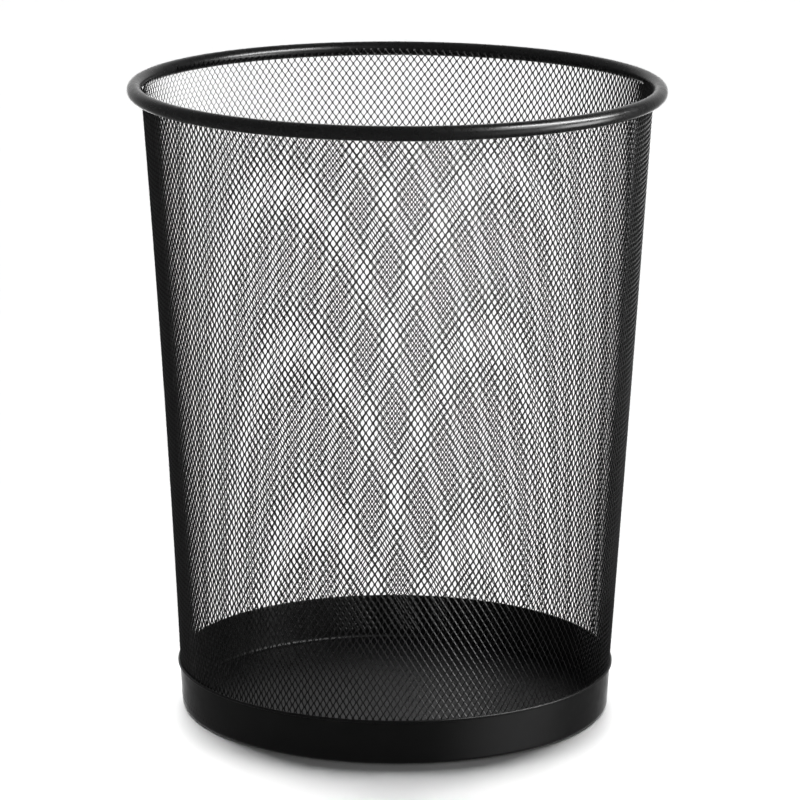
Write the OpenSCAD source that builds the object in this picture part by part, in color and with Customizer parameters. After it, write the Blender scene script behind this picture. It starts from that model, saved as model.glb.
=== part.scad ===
// Round wastebasket of black powder-coated steel: a tapered wall of expanded
// mesh, a round tube welded round its mouth and a drawn sheet pan as its base.
// Millimetres, +Z up, origin on the floor under the centre of the basket.

/* [Overall] */
// Height from the floor to the top of the rim
height = 352; // [300:1:400]
// Outside diameter of the rim
rim_d = 295; // [280:1:320]

/* [Rim] */
// Outside diameter of the rim's round tube
tube_d = 8; // [6:0.1:10]
// Wall thickness of the rim's tube
tube_wall = 0.6; // [0.4:0.1:1]

/* [Mesh wall] */
// Outside diameter of the wall where it enters the base pan
wall_foot_d = 240.8; // [220:0.2:260]
// Thickness of the expanded sheet, over its tilted strands
wall_t = 1; // [0.6:0.1:1.5]
// Height of the wall's lower edge above the floor
wall_foot_z = 3.6; // [3.4:0.1:8]

/* [Base pan] */
// Height of the pan's skirt
skirt_h = 25.8; // [20:0.2:40]
// Thickness of the pan's steel
pan_t = 0.5; // [0.4:0.1:0.8]
// Outside radius of the bend between the pan's floor and its skirt
corner_r = 2.8; // [2:0.1:3]
// Thickness of the rolled bead along the skirt's top edge
bead_d = 1.6; // [1:0.1:2]

/* [Hidden] */
$fn = 128;

// Play between neighbouring pieces, so that they touch without overlapping
gap = 0.05;

// The rim's tube: a circle of this radius, centred at this height
ring_r = (rim_d - tube_d) / 2;
ring_z = height - tube_d / 2;

// The wall is a straight cone. It rises inside the ring and is welded to the
// tube's inner side, and its cut edge ends a little above the tube's middle.
wall_foot_r = wall_foot_d / 2;
wall_head_r = ring_r - tube_d / 2 - gap;
taper = (wall_head_r - wall_foot_r) / (ring_z - skirt_h);
wall_head_z = ring_z + 1;
function wall_r(z) = wall_foot_r + (z - skirt_h) * taper;

// The skirt leans out with the wall and lies flat against its outer face
lean = atan(taper);
skirt_foot_r = wall_r(0) + gap + pan_t / cos(lean);
bend_r = skirt_foot_r + corner_r * taper - corner_r / cos(lean);
bead_r = bead_d / 2;
skirt_len = (skirt_h - bead_r - corner_r * (1 - sin(lean))) / cos(lean);
// The bead's arc starts on the skirt's outer face and ends on its inner face
bead_start = -acos((pan_t - bead_r) / bead_r);

// Point at x across and y along the skirt, from the middle of its bottom bend
function on_skirt(x, y) = [
  bend_r + x * cos(lean) + y * sin(lean),
  corner_r - x * sin(lean) + y * cos(lean)
];

// Arc of radius r about such a point, from angle a to angle b in n steps
function skirt_arc(x, y, r, a, b, n) = [
  for (i = [0:n]) let (t = a + (b - a) * i / n) on_skirt(x + r * cos(t), y + r * sin(t))
];

COATING = [0.07, 0.07, 0.075];

// Closed round tube that stiffens the mouth
module rim_tube() {
  color(COATING)
    translate([0, 0, ring_z])
      rotate_extrude()
        translate([ring_r, 0])
          difference() {
            circle(d = tube_d);
            circle(d = tube_d - 2 * tube_wall);
          }
}

// Expanded sheet, drawn as the plain conical sheet that holds its strands
module mesh_wall() {
  color(COATING)
    rotate_extrude()
      polygon([
        [wall_r(wall_foot_z) - wall_t, wall_foot_z],
        [wall_r(wall_foot_z), wall_foot_z],
        [wall_r(wall_head_z), wall_head_z],
        [wall_r(wall_head_z) - wall_t, wall_head_z]
      ]);
}

// Drawn pan that closes the bottom and holds the wall's lower edge. It stands on
// its flat floor, bends up into the leaning skirt, and ends in a bead rolled
// outwards.
module base_pan() {
  floor_side = lean - 90;
  color(COATING)
    rotate_extrude()
      polygon(concat(
        [[0, 0]],
        skirt_arc(0, 0, corner_r, floor_side, 0, 8),
        skirt_arc(corner_r - pan_t + bead_r, skirt_len, bead_r, bead_start, 180, 16),
        skirt_arc(0, 0, corner_r - pan_t, 0, floor_side, 8),
        [[0, pan_t]]
      ));
}

rim_tube();
mesh_wall();
base_pan();
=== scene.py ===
"""Black steel-mesh wastebasket: expanded-metal wall, round tube rim and drawn base pan.

Everything is in metres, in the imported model's frame: +Z up, origin on the floor under the
centre. The mesh wall is built strand by strand, as the sheet is slit and stretched.
"""
import math

import bpy
import numpy as np
from mathutils import Matrix, Vector


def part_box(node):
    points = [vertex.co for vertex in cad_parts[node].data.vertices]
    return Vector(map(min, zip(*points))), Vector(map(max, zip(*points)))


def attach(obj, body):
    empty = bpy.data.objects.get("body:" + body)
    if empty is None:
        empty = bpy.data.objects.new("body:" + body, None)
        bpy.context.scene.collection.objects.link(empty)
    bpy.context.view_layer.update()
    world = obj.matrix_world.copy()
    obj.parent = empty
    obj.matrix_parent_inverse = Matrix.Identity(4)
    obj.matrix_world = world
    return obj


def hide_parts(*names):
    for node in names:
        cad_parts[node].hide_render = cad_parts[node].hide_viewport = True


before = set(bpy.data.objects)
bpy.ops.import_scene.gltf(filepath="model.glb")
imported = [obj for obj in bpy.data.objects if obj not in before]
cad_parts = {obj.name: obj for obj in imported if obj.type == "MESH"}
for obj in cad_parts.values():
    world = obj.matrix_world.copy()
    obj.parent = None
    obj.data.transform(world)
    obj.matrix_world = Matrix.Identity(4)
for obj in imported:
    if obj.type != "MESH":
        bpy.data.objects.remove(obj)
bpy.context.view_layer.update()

MM = 0.001

# --------------------------------------------------------------------------- sizes from the CAD
rim_low, rim_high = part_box("rim_tube")
TUBE_R = (rim_high.z - rim_low.z) / 2
RING_R = rim_high.x - TUBE_R
RING_Z = rim_high.z - TUBE_R

wall_low, wall_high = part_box("mesh_wall")
pan_low, pan_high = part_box("base_pan")
SKIRT_H = pan_high.z


def outer_radius(node, z):
    """Largest radius of a CAD node's corners that lie at height z."""
    co = np.array([v.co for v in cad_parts[node].data.vertices])
    level = co[np.abs(co[:, 2] - z) < 0.05 * MM]
    return float(np.hypot(level[:, 0], level[:, 1]).max())


WALL_FOOT_R = outer_radius("mesh_wall", wall_low.z)
WALL_HEAD_R = outer_radius("mesh_wall", wall_high.z)
TAPER = (WALL_HEAD_R - WALL_FOOT_R) / (wall_high.z - wall_low.z)
MID_Z = (SKIRT_H + RING_Z) / 2


def wall_radius(z):
    """Outside radius of the mesh wall at height z."""
    return WALL_FOOT_R + (z - wall_low.z) * TAPER


# --------------------------------------------------------------------------- sizes of the details
CELLS = 208.8                # diamonds round the wall at mid-height
CELLS_GAIN = 11.4            # more of them per metre of height above that
CELLS_AS_SLIT = 210          # diamonds round the wall that the strand's length is worked out for
CELL_HEIGHT_TOP = 5.53 * MM  # height of a diamond at the mouth, along the wall
STRAND_W = 0.73 * MM         # width of a strand, across the sheet
STRAND_T = 0.22 * MM         # thickness of the sheet
BOND_H = 1.0 * MM            # height of the uncut bond where two strands meet
FOOT_TURN = math.radians(-27)  # how far stretching turned the strands out of the sheet at
HEAD_TURN = math.radians(-33)  # the wall's foot, and at its mouth, where it stretched more

# Where the bonds lie: in columns from +X, and in half-cell rows from the wall's lower edge.
# Gains are per metre of height above mid-height.
COLUMN_START = 0.2           # where column 0 lies at mid-height, in columns
COLUMN_LEAN = 0.75           # gain of that, because the sheet sits slightly askew
ROW_ARCH = 0.193             # a fan's rows climb with the square of the angle from +X
ROW_CLIMB = 0.13             # they climb with the angle too, so they miss each other at the seam
ROW_CLIMB_GAIN = 0.8
ROW_START = 0.01             # how far the rows are raised at mid-height
ROW_START_GAIN = 0.6
ROWS_BELOW = 2               # rows laid out below the lower edge, which climb into the sheet
COLUMNS_EACH_WAY = 112       # columns laid out on each side of +X, past the sheet's ends

SEAM_LAP = 10 * MM           # overlap of the sheet's two ends, which meet on the -X side
SEAM_STEP = 1.1 * MM         # how far the under end sits inside the upper one
SEAM_STEP_CELLS = 1.5        # over how many cells it steps in
WELD_DEPTH = 0.35 * MM       # how deep the bonds' corners sink into the tube and the skirt
WALL_WAIST = 0.5 * MM        # how far the wall draws in at mid-height
WALL_BOW = 0.7 * MM          # how far it bows towards +X there
MESH_PANELS = 4              # objects that the mesh is shared out to, going round

PLAY = 0.05 * MM             # between the wall's outer face and the skirt
PAN_T = 0.5 * MM
CORNER_R = 2.8 * MM          # outside radius of the bend from the pan's floor to its skirt
BEAD_R = 0.8 * MM
CENTRE_R = 0.05 * MM         # the pan's floor is turned from this radius out

SHARP_ANGLE = math.radians(32)  # smooth shading stops where faces meet at more than this
TURNED_SEGMENTS = 512        # facets round the rim and the pan
TUBE_STEPS = 64              # facets round the tube's section
BEND_STEPS = 12
BEAD_STEPS = 20


# --------------------------------------------------------------------------- expanded mesh
def half_row(z):
    """Height from one row of bonds to the next at height z.

    A strand keeps its length while the sheet is stretched to a cone, so the rows draw
    together as the cells widen.
    """
    half_cell_top = math.pi * wall_radius(RING_Z) / CELLS_AS_SLIT
    strand = math.hypot(half_cell_top, CELL_HEIGHT_TOP / 2)
    half_cell = math.pi * wall_radius(z) / CELLS_AS_SLIT
    return math.sqrt(strand ** 2 - half_cell ** 2) / math.hypot(1, TAPER)


def bond_rows():
    """Levels of the rows of bonds, from below the wall's lower edge to its upper one."""
    rows = [wall_low.z + BOND_H / 2]
    for _ in range(ROWS_BELOW):
        rows.insert(0, rows[0] - half_row(rows[0]))
    while rows[-1] + half_row(rows[-1]) < wall_high.z - BOND_H / 2:
        rows.append(rows[-1] + half_row(rows[-1]))
    return rows


def bond_angles(column, level):
    """Angle of each bond round the wall, from +X; columns count from there.

    The sheet was not stretched quite enough to make the cone, so it has fewer cells round
    its foot than round its mouth, like a sheet cut to a fan.
    """
    above = level - MID_Z
    start = COLUMN_START + COLUMN_LEAN * above
    return 2 * math.pi * (column + start) / (CELLS + CELLS_GAIN * above)


def row_lift(angle, level, spacing):
    """Height of each bond above its row's level: rolled up, a fan's rows climb to its ends."""
    above = level - MID_Z
    arch = ROW_ARCH * angle ** 2
    climb = (ROW_CLIMB + ROW_CLIMB_GAIN * above) * angle
    return spacing * (arch + climb + ROW_START + ROW_START_GAIN * above)


def bond_sections(angle, z):
    """Six corners of each bond's section at height z: inner and outer of its left end, middle
    and right end."""
    lap = SEAM_LAP / 2 / wall_radius(z)
    step = SEAM_STEP_CELLS * 2 * math.pi / CELLS
    dive = np.clip((angle - (math.pi - lap - step)) / step, 0, 1)
    along_wall = (z - SKIRT_H) / (RING_Z - SKIRT_H)
    turn = FOOT_TURN + (HEAD_TURN - FOOT_TURN) * along_wall
    reach = STRAND_W * np.abs(np.sin(turn)) + STRAND_T / 2 * np.cos(turn)
    slack = 4 * along_wall * (1 - along_wall) * (WALL_BOW * np.cos(angle) - WALL_WAIST)
    radius = (wall_radius(z) + WELD_DEPTH + slack - reach
              - SEAM_STEP * dive * dive * (3 - 2 * dive))
    outward = np.stack([np.cos(angle), np.sin(angle)], -1)
    around = np.stack([-np.sin(angle), np.cos(angle)], -1)
    cos_turn, sin_turn = np.cos(turn)[..., None], np.sin(turn)[..., None]
    broad = cos_turn * around + sin_turn * outward
    thin = -sin_turn * around + cos_turn * outward
    corners = []
    for along in (-STRAND_W, 0, STRAND_W):
        for across in (-STRAND_T / 2, STRAND_T / 2):
            flat = radius[..., None] * outward + along * broad + across * thin
            corners.append(np.concatenate([flat, z[..., None]], -1))
    return np.stack(corners, 2)


def expanded_mesh():
    """Corners and faces of the whole expanded sheet, with each face's angle round the wall."""
    level = np.array(bond_rows())[:, None]
    spacing = np.array([half_row(z) for z in level[:, 0]])[:, None]
    odd = np.arange(len(level))[:, None] % 2
    column = np.arange(-COLUMNS_EACH_WAY, COLUMNS_EACH_WAY)[None, :] + 0.5 * (1 + odd)
    angle = bond_angles(column, level)
    z = level + row_lift(angle, level, spacing)
    corners = np.stack([bond_sections(angle, z - BOND_H / 2),
                        bond_sections(angle, z + BOND_H / 2)], 2).reshape(-1, 3)

    # The sheet is trimmed level with the wall's edges, and upright at its two ends
    in_sheet = np.abs(angle) <= math.pi + SEAM_LAP / 2 / wall_radius(z)
    in_sheet &= (z >= wall_low.z + BOND_H / 2) & (z <= wall_high.z - BOND_H / 2)

    # A corner's number: 12 to a bond, 6 to a section, 2 (inner and outer) to a place
    bond = np.arange(z.size).reshape(z.shape) * 12
    LEFT, MID, RIGHT = 0, 2, 4
    HIGH, OUTER = 6, 1
    LEFT_HALF, RIGHT_HALF = (LEFT, MID), (MID, RIGHT)
    faces, angles = [], []

    def add(keep, where, *around):
        """One four-cornered face for every bond that keep marks."""
        faces.append(np.stack([a[keep] for a in around], -1))
        angles.append(where[keep])

    for start, end in (LEFT_HALF, RIGHT_HALF):
        add(in_sheet, angle, bond + start + OUTER, bond + end + OUTER,
            bond + end + OUTER + HIGH, bond + start + OUTER + HIGH)
        add(in_sheet, angle, bond + end, bond + start, bond + start + HIGH, bond + end + HIGH)
    add(in_sheet, angle, bond + LEFT, bond + LEFT + OUTER, bond + LEFT + OUTER + HIGH,
        bond + LEFT + HIGH)
    add(in_sheet, angle, bond + RIGHT + OUTER, bond + RIGHT, bond + RIGHT + HIGH,
        bond + RIGHT + OUTER + HIGH)

    used_above = {half: np.zeros(z.shape, bool) for half in (LEFT_HALF, RIGHT_HALF)}
    used_below = {half: np.zeros(z.shape, bool) for half in (LEFT_HALF, RIGHT_HALF)}

    def strands(low, high, low_half, high_half):
        """Four long faces from half of each lower bond's top to half of a higher bond's
        bottom. low and high pick the two bonds out of a row's."""
        keep = in_sheet[low] & in_sheet[high]
        a0, a1 = bond[low] + low_half[0] + HIGH, bond[low] + low_half[1] + HIGH
        b0, b1 = bond[high] + high_half[0], bond[high] + high_half[1]
        add(keep, angle[low], a0 + OUTER, a1 + OUTER, b1 + OUTER, b0 + OUTER)
        add(keep, angle[low], a1, a0, b0, b1)
        add(keep, angle[low], a0, a0 + OUTER, b0 + OUTER, b0)
        add(keep, angle[low], a1 + OUTER, a1, b1, b1 + OUTER)
        used_above[low_half][low] |= keep
        used_below[high_half][high] |= keep

    every, but_last, but_first = slice(None), slice(None, -1), slice(1, None)
    for j in range(len(level) - 1):
        if odd[j, 0]:
            strands((j, but_last), (j + 1, but_first), RIGHT_HALF, LEFT_HALF)
            strands((j, every), (j + 1, every), LEFT_HALF, RIGHT_HALF)
        else:
            strands((j, every), (j + 1, every), RIGHT_HALF, LEFT_HALF)
            strands((j, but_first), (j + 1, but_last), LEFT_HALF, RIGHT_HALF)

    # A cut end closes each half of a bond that carries no strand
    for half in (LEFT_HALF, RIGHT_HALF):
        start, end = bond + half[0], bond + half[1]
        add(in_sheet & ~used_below[half], angle, start, end, end + OUTER, start + OUTER)
        start, end = start + HIGH, end + HIGH
        add(in_sheet & ~used_above[half], angle, start + OUTER, end + OUTER, end, start)
    return corners, np.concatenate(faces), np.concatenate(angles)


def mesh_object(name, corners, faces, material, smooth=False):
    """New object from corner and face arrays, keeping only the corners that are used."""
    used, faces = np.unique(faces, return_inverse=True)
    faces = faces.reshape(-1, 4)
    data = bpy.data.meshes.new(name)
    data.vertices.add(len(used))
    data.vertices.foreach_set("co", corners[used].astype(np.float32).ravel())
    data.loops.add(faces.size)
    data.loops.foreach_set("vertex_index", faces.astype(np.int32).ravel())
    data.polygons.add(len(faces))
    data.polygons.foreach_set("loop_start", np.arange(0, faces.size, 4, dtype=np.int32))
    data.polygons.foreach_set("use_smooth", np.full(len(faces), smooth))
    data.update(calc_edges=True)
    data.validate()
    if smooth:
        data.set_sharp_from_angle(angle=SHARP_ANGLE)
    data.materials.append(material)
    made = bpy.data.objects.new(name, data)
    bpy.context.scene.collection.objects.link(made)
    return made


def make_mesh_wall(material):
    """The wall, shared out to objects that each cover an equal part of the way round."""
    corners, faces, angles = expanded_mesh()
    turns = angles / (2 * math.pi) + 0.5
    panel = np.clip((turns * MESH_PANELS).astype(int), 0, MESH_PANELS - 1)
    for k in range(MESH_PANELS):
        piece = mesh_object(f"mesh_quarter_{k + 1}", corners, faces[panel == k], material)
        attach(piece, "root")
        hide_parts("mesh_wall")


# --------------------------------------------------------------------------- turned pieces
def turned(name, outline, segments, closed, material):
    """Surface of revolution about Z. outline is a list of (radius, height) points, and closed
    says whether its last point joins its first."""
    points = np.array(outline)
    angle = 2 * math.pi * np.arange(segments) / segments
    ring = np.stack([np.cos(angle), np.sin(angle)], -1)
    corners = np.concatenate([
        points[None, :, 0, None] * ring[:, None, :],
        np.broadcast_to(points[None, :, 1, None], (segments, len(points), 1))], -1)
    number = np.arange(segments * len(points)).reshape(segments, len(points))
    across = np.roll(number, -1, 0)
    if closed:
        up, across_up = np.roll(number, -1, 1), np.roll(across, -1, 1)
    else:
        up, across_up = number[:, 1:], across[:, 1:]
        number, across = number[:, :-1], across[:, :-1]
    faces = np.stack([number, across, across_up, up], -1).reshape(-1, 4)
    return mesh_object(name, corners.reshape(-1, 3), faces, material, smooth=True)


def arc(x, y, radius, start, end, steps):
    """Points along an arc about (x, y); angles in degrees."""
    turns = [math.radians(start + (end - start) * i / steps) for i in range(steps + 1)]
    return [(x + radius * math.cos(t), y + radius * math.sin(t)) for t in turns]


def make_rim(material):
    """Closed ring of round tube."""
    section = arc(RING_R, RING_Z, TUBE_R, 0, 360, TUBE_STEPS)[:-1]
    rim = turned("rim_tube_ring", section, TURNED_SEGMENTS, True, material)
    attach(rim, "root")
    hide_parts("rim_tube")


def make_pan(material):
    """Pan with a flat floor, a skirt that leans out with the wall, and a rolled bead."""
    lean = math.atan(TAPER)
    foot_r = wall_radius(0) + PLAY + PAN_T / math.cos(lean)
    bend_r = foot_r + CORNER_R * TAPER - CORNER_R / math.cos(lean)
    length = (SKIRT_H - BEAD_R - CORNER_R * (1 - math.sin(lean))) / math.cos(lean)

    def on_skirt(points):
        """Points at x across and y along the skirt, from the middle of its bottom bend."""
        return [(bend_r + x * math.cos(lean) + y * math.sin(lean),
                 CORNER_R - x * math.sin(lean) + y * math.cos(lean)) for x, y in points]

    floor_side = math.degrees(lean) - 90
    bead_start = -math.degrees(math.acos((PAN_T - BEAD_R) / BEAD_R))
    bead_x = CORNER_R - PAN_T + BEAD_R
    outline = [(CENTRE_R, 0)]
    outline += on_skirt(arc(0, 0, CORNER_R, floor_side, 0, BEND_STEPS))
    outline += on_skirt(arc(bead_x, length, BEAD_R, bead_start, 180, BEAD_STEPS))
    outline += on_skirt(arc(0, 0, CORNER_R - PAN_T, 0, floor_side, BEND_STEPS))
    outline += [(CENTRE_R, PAN_T)]
    pan = turned("base_pan_drawn", outline, TURNED_SEGMENTS, False, material)
    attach(pan, "root")
    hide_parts("base_pan")


# --------------------------------------------------------------------------- materials
NOISE_LOW = 0.3              # noise mostly lies between these two values
NOISE_HIGH = 0.7
SHADE_PATCH = 12 * MM        # size of the coating's lighter and darker patches
SHADE_CHANGE = 0.2           # how much lighter and darker they are
BLUE_TINT = 0.04             # how much more blue than red and green the black has
GLOSS_PATCH = 5 * MM         # size of its glossier and rougher patches
GLOSS_CHANGE = 0.12          # how much smoother and rougher they are


def new_material(name):
    material = bpy.data.materials.new(name)
    material.use_nodes = True
    nodes = material.node_tree.nodes
    return material, nodes, material.node_tree.links, nodes["Principled BSDF"]


def noise(nodes, links, size, detail):
    """Noise whose lumps are about size metres across."""
    where = nodes.new("ShaderNodeTexCoord")
    texture = nodes.new("ShaderNodeTexNoise")
    texture.inputs["Scale"].default_value = 1 / size
    texture.inputs["Detail"].default_value = detail
    links.new(where.outputs["Object"], texture.inputs["Vector"])
    return texture.outputs["Fac"]


def spread(nodes, links, value, low, high):
    """Noise value mapped from the range where it mostly lies to low to high."""
    scale = nodes.new("ShaderNodeMapRange")
    scale.inputs["From Min"].default_value = NOISE_LOW
    scale.inputs["From Max"].default_value = NOISE_HIGH
    scale.inputs["To Min"].default_value = low
    scale.inputs["To Max"].default_value = high
    links.new(value, scale.inputs["Value"])
    return scale.outputs["Result"]


def powder_coat(name, black, shine, rough, peel_size, peel_depth):
    """Black powder coat: orange-peel bump, and slow changes of shade and gloss."""
    material, nodes, links, shader = new_material(name)
    shader.inputs["Specular IOR Level"].default_value = shine
    shade = nodes.new("ShaderNodeMix")
    shade.data_type = "RGBA"
    for socket, change in (("A", 1 - SHADE_CHANGE), ("B", 1 + SHADE_CHANGE)):
        grey, blue = black * change, black * (change + BLUE_TINT)
        shade.inputs[socket].default_value = (grey, grey, blue, 1)
    links.new(spread(nodes, links, noise(nodes, links, SHADE_PATCH, 3), 0, 1),
              shade.inputs["Factor"])
    links.new(shade.outputs["Result"], shader.inputs["Base Color"])
    gloss = noise(nodes, links, GLOSS_PATCH, 4)
    links.new(spread(nodes, links, gloss, rough * (1 - GLOSS_CHANGE), rough * (1 + GLOSS_CHANGE)),
              shader.inputs["Roughness"])
    bump = nodes.new("ShaderNodeBump")
    bump.inputs["Strength"].default_value = 1
    bump.inputs["Distance"].default_value = peel_depth
    links.new(noise(nodes, links, peel_size, 2), bump.inputs["Height"])
    links.new(bump.outputs["Normal"], shader.inputs["Normal"])
    return material


def mesh_coating():
    return powder_coat("mesh_powder_coat", black=0.004, shine=0.4, rough=0.38,
                       peel_size=0.7 * MM, peel_depth=0.02 * MM)


def rim_coating():
    return powder_coat("rim_powder_coat", black=0.004, shine=0.5, rough=0.28,
                       peel_size=0.9 * MM, peel_depth=0.012 * MM)


def pan_coating():
    return powder_coat("pan_powder_coat", black=0.004, shine=0.3, rough=0.36,
                       peel_size=0.9 * MM, peel_depth=0.012 * MM)


# --------------------------------------------------------------------------- studio
CAMERA_DISTANCE = 2.296
CAMERA_HEIGHT = 0.724
CAMERA_TILT = 13.49          # degrees, down
CAMERA_YAW = -0.054
CAMERA_ROLL = 0.25
CAMERA_LENS = 191.4

FLOOR_SIDE = 12.0
FLOOR_FRONT = 0.9            # the floor's colour in front of the basket, and behind it, where the overhead light falls; the darker colour behind is painted shade
FLOOR_BACK_PAINTED_SHADE = 0.37            # the overhead light falls
FLOOR_BLEND = 0.15           # the painted shade changes from this far in front to this far behind
DOME_R = 14.0
DOME_STEP = 6                # degrees from one ring of the dome to the next
DOME_SEGMENTS = 48

# The room's light: each row has a direction, the cosine of how far from it the light
# reaches, and the brightness at that edge and at the middle
GLOWS = (
    ((0, 1, 0), 0.68, 0.15, 0.7),
    ((0, 0.97, -0.24), 0.93, 0, 2.5),
    ((0.864, -0.388, -0.32), 0.80, 0, 0.8),
)


def make_camera():
    data = bpy.data.cameras.new("camera")
    data.sensor_width = 36
    data.lens = CAMERA_LENS
    camera = bpy.data.objects.new("camera", data)
    bpy.context.scene.collection.objects.link(camera)
    turn = (Matrix.Rotation(math.radians(CAMERA_YAW), 4, "Z")
            @ Matrix.Rotation(math.radians(90 - CAMERA_TILT), 4, "X")
            @ Matrix.Rotation(math.radians(CAMERA_ROLL), 4, "Z"))
    camera.matrix_world = Matrix.Translation((0, -CAMERA_DISTANCE, CAMERA_HEIGHT)) @ turn
    bpy.context.scene.camera = camera


def area_light(name, place, target, long_axis, width, height, radiance):
    """Soft box at place, facing target, that only glints in the coating."""
    data = bpy.data.lights.new(name, "AREA")
    data.shape = "RECTANGLE"
    data.size, data.size_y = width, height
    data.energy = radiance * math.pi * width * height
    lamp = bpy.data.objects.new(name, data)
    bpy.context.scene.collection.objects.link(lamp)
    back = (Vector(place) - Vector(target)).normalized()
    side = Vector(long_axis).cross(back).normalized()
    up = back.cross(side)
    lamp.matrix_world = Matrix.Translation(place) @ Matrix(
        (side, up, back)).transposed().to_4x4()
    lamp.visible_diffuse = False


def make_softboxes():
    """Three to the right: for the rim's long highlight, the pan, and the wall's right side."""
    leaning = (0, -0.6, 0.8)
    area_light("key_softbox", place=(0.52, -0.14, 0.645), target=(0.1, -0.05, 0.3),
               long_axis=leaning, width=0.12, height=0.5, radiance=30)
    area_light("front_softbox", place=(0.56, -0.36, 0.66), target=(0.1, -0.05, 0.2),
               long_axis=leaning, width=0.35, height=0.35, radiance=6)
    area_light("side_softbox", place=(0.65, -0.16, 0.2), target=(0.06, -0.2, 0.1),
               long_axis=(0, 0, 1), width=0.3, height=0.3, radiance=8.5)


def make_overhead_light():
    """Broad light from above and behind; it shows on the floor, not in the coating's gloss."""
    data = bpy.data.lights.new("overhead_light", "SUN")
    data.energy = 12.0
    data.angle = math.radians(75)
    lamp = bpy.data.objects.new("overhead_light", data)
    bpy.context.scene.collection.objects.link(lamp)
    lamp.rotation_euler = (math.radians(-50), 0, 0)
    lamp.visible_glossy = False


def make_floor():
    material, nodes, links, shader = new_material("white_floor")
    shader.inputs["Roughness"].default_value = 0.4
    shader.inputs["Specular IOR Level"].default_value = 0.1
    where = nodes.new("ShaderNodeTexCoord")
    split = nodes.new("ShaderNodeSeparateXYZ")
    links.new(where.outputs["Object"], split.inputs["Vector"])
    # painted shade: the floor's colour darkens from its front to behind the basket
    shade = nodes.new("ShaderNodeMapRange")
    shade.interpolation_type = "SMOOTHSTEP"
    shade.inputs["From Min"].default_value = -FLOOR_BLEND
    shade.inputs["From Max"].default_value = FLOOR_BLEND
    shade.inputs["To Min"].default_value = FLOOR_FRONT
    shade.inputs["To Max"].default_value = FLOOR_BACK_PAINTED_SHADE
    links.new(split.outputs["Y"], shade.inputs["Value"])
    links.new(shade.outputs["Result"], shader.inputs["Base Color"])
    half = FLOOR_SIDE / 2
    corners = np.array([(-half, -half, 0), (half, -half, 0), (half, half, 0), (-half, half, 0)])
    floor = mesh_object("floor", corners, np.array([[0, 1, 2, 3]]), material)
    floor.visible_glossy = False


def make_dome():
    """White surroundings that only the camera sees."""
    material = bpy.data.materials.new("white_surroundings")
    material.use_nodes = True
    nodes = material.node_tree.nodes
    nodes.clear()
    glow = nodes.new("ShaderNodeEmission")
    glow.inputs["Strength"].default_value = 1.0
    out = nodes.new("ShaderNodeOutputMaterial")
    material.node_tree.links.new(glow.outputs["Emission"], out.inputs["Surface"])
    outline = [(DOME_R * math.cos(math.radians(a)), DOME_R * math.sin(math.radians(a)))
               for a in range(-89, 90, DOME_STEP)]
    dome = turned("surroundings", outline, DOME_SEGMENTS, False, material)
    dome.visible_diffuse = False
    dome.visible_glossy = False
    dome.visible_transmission = False
    dome.visible_shadow = False


def make_world():
    """Soft room: bright behind the basket, dim elsewhere but for a glow off the floor beside it."""
    world = bpy.data.worlds.new("studio")
    bpy.context.scene.world = world
    world.use_nodes = True
    nodes, links = world.node_tree.nodes, world.node_tree.links
    background = nodes["Background"]
    background.inputs["Color"].default_value = (1, 1, 1, 1)
    where = nodes.new("ShaderNodeTexCoord")
    total = None
    for centre, edge, low, high in GLOWS:
        towards = nodes.new("ShaderNodeVectorMath")
        towards.operation = "DOT_PRODUCT"
        towards.inputs[1].default_value = Vector(centre).normalized()
        links.new(where.outputs["Generated"], towards.inputs[0])
        ramp = nodes.new("ShaderNodeMapRange")
        ramp.interpolation_type = "SMOOTHSTEP"
        ramp.inputs["From Min"].default_value = edge
        ramp.inputs["From Max"].default_value = 1.0
        ramp.inputs["To Min"].default_value = low
        ramp.inputs["To Max"].default_value = high
        links.new(towards.outputs["Value"], ramp.inputs["Value"])
        if total is None:
            total = ramp.outputs["Result"]
            continue
        add = nodes.new("ShaderNodeMath")
        add.operation = "ADD"
        links.new(total, add.inputs[0])
        links.new(ramp.outputs["Result"], add.inputs[1])
        total = add.outputs["Value"]
    links.new(total, background.inputs["Strength"])


make_camera()
make_world()
make_dome()
make_floor()
make_overhead_light()
make_softboxes()
make_mesh_wall(mesh_coating())
make_rim(rim_coating())
make_pan(pan_coating())

bpy.context.scene.view_settings.view_transform = "Standard"
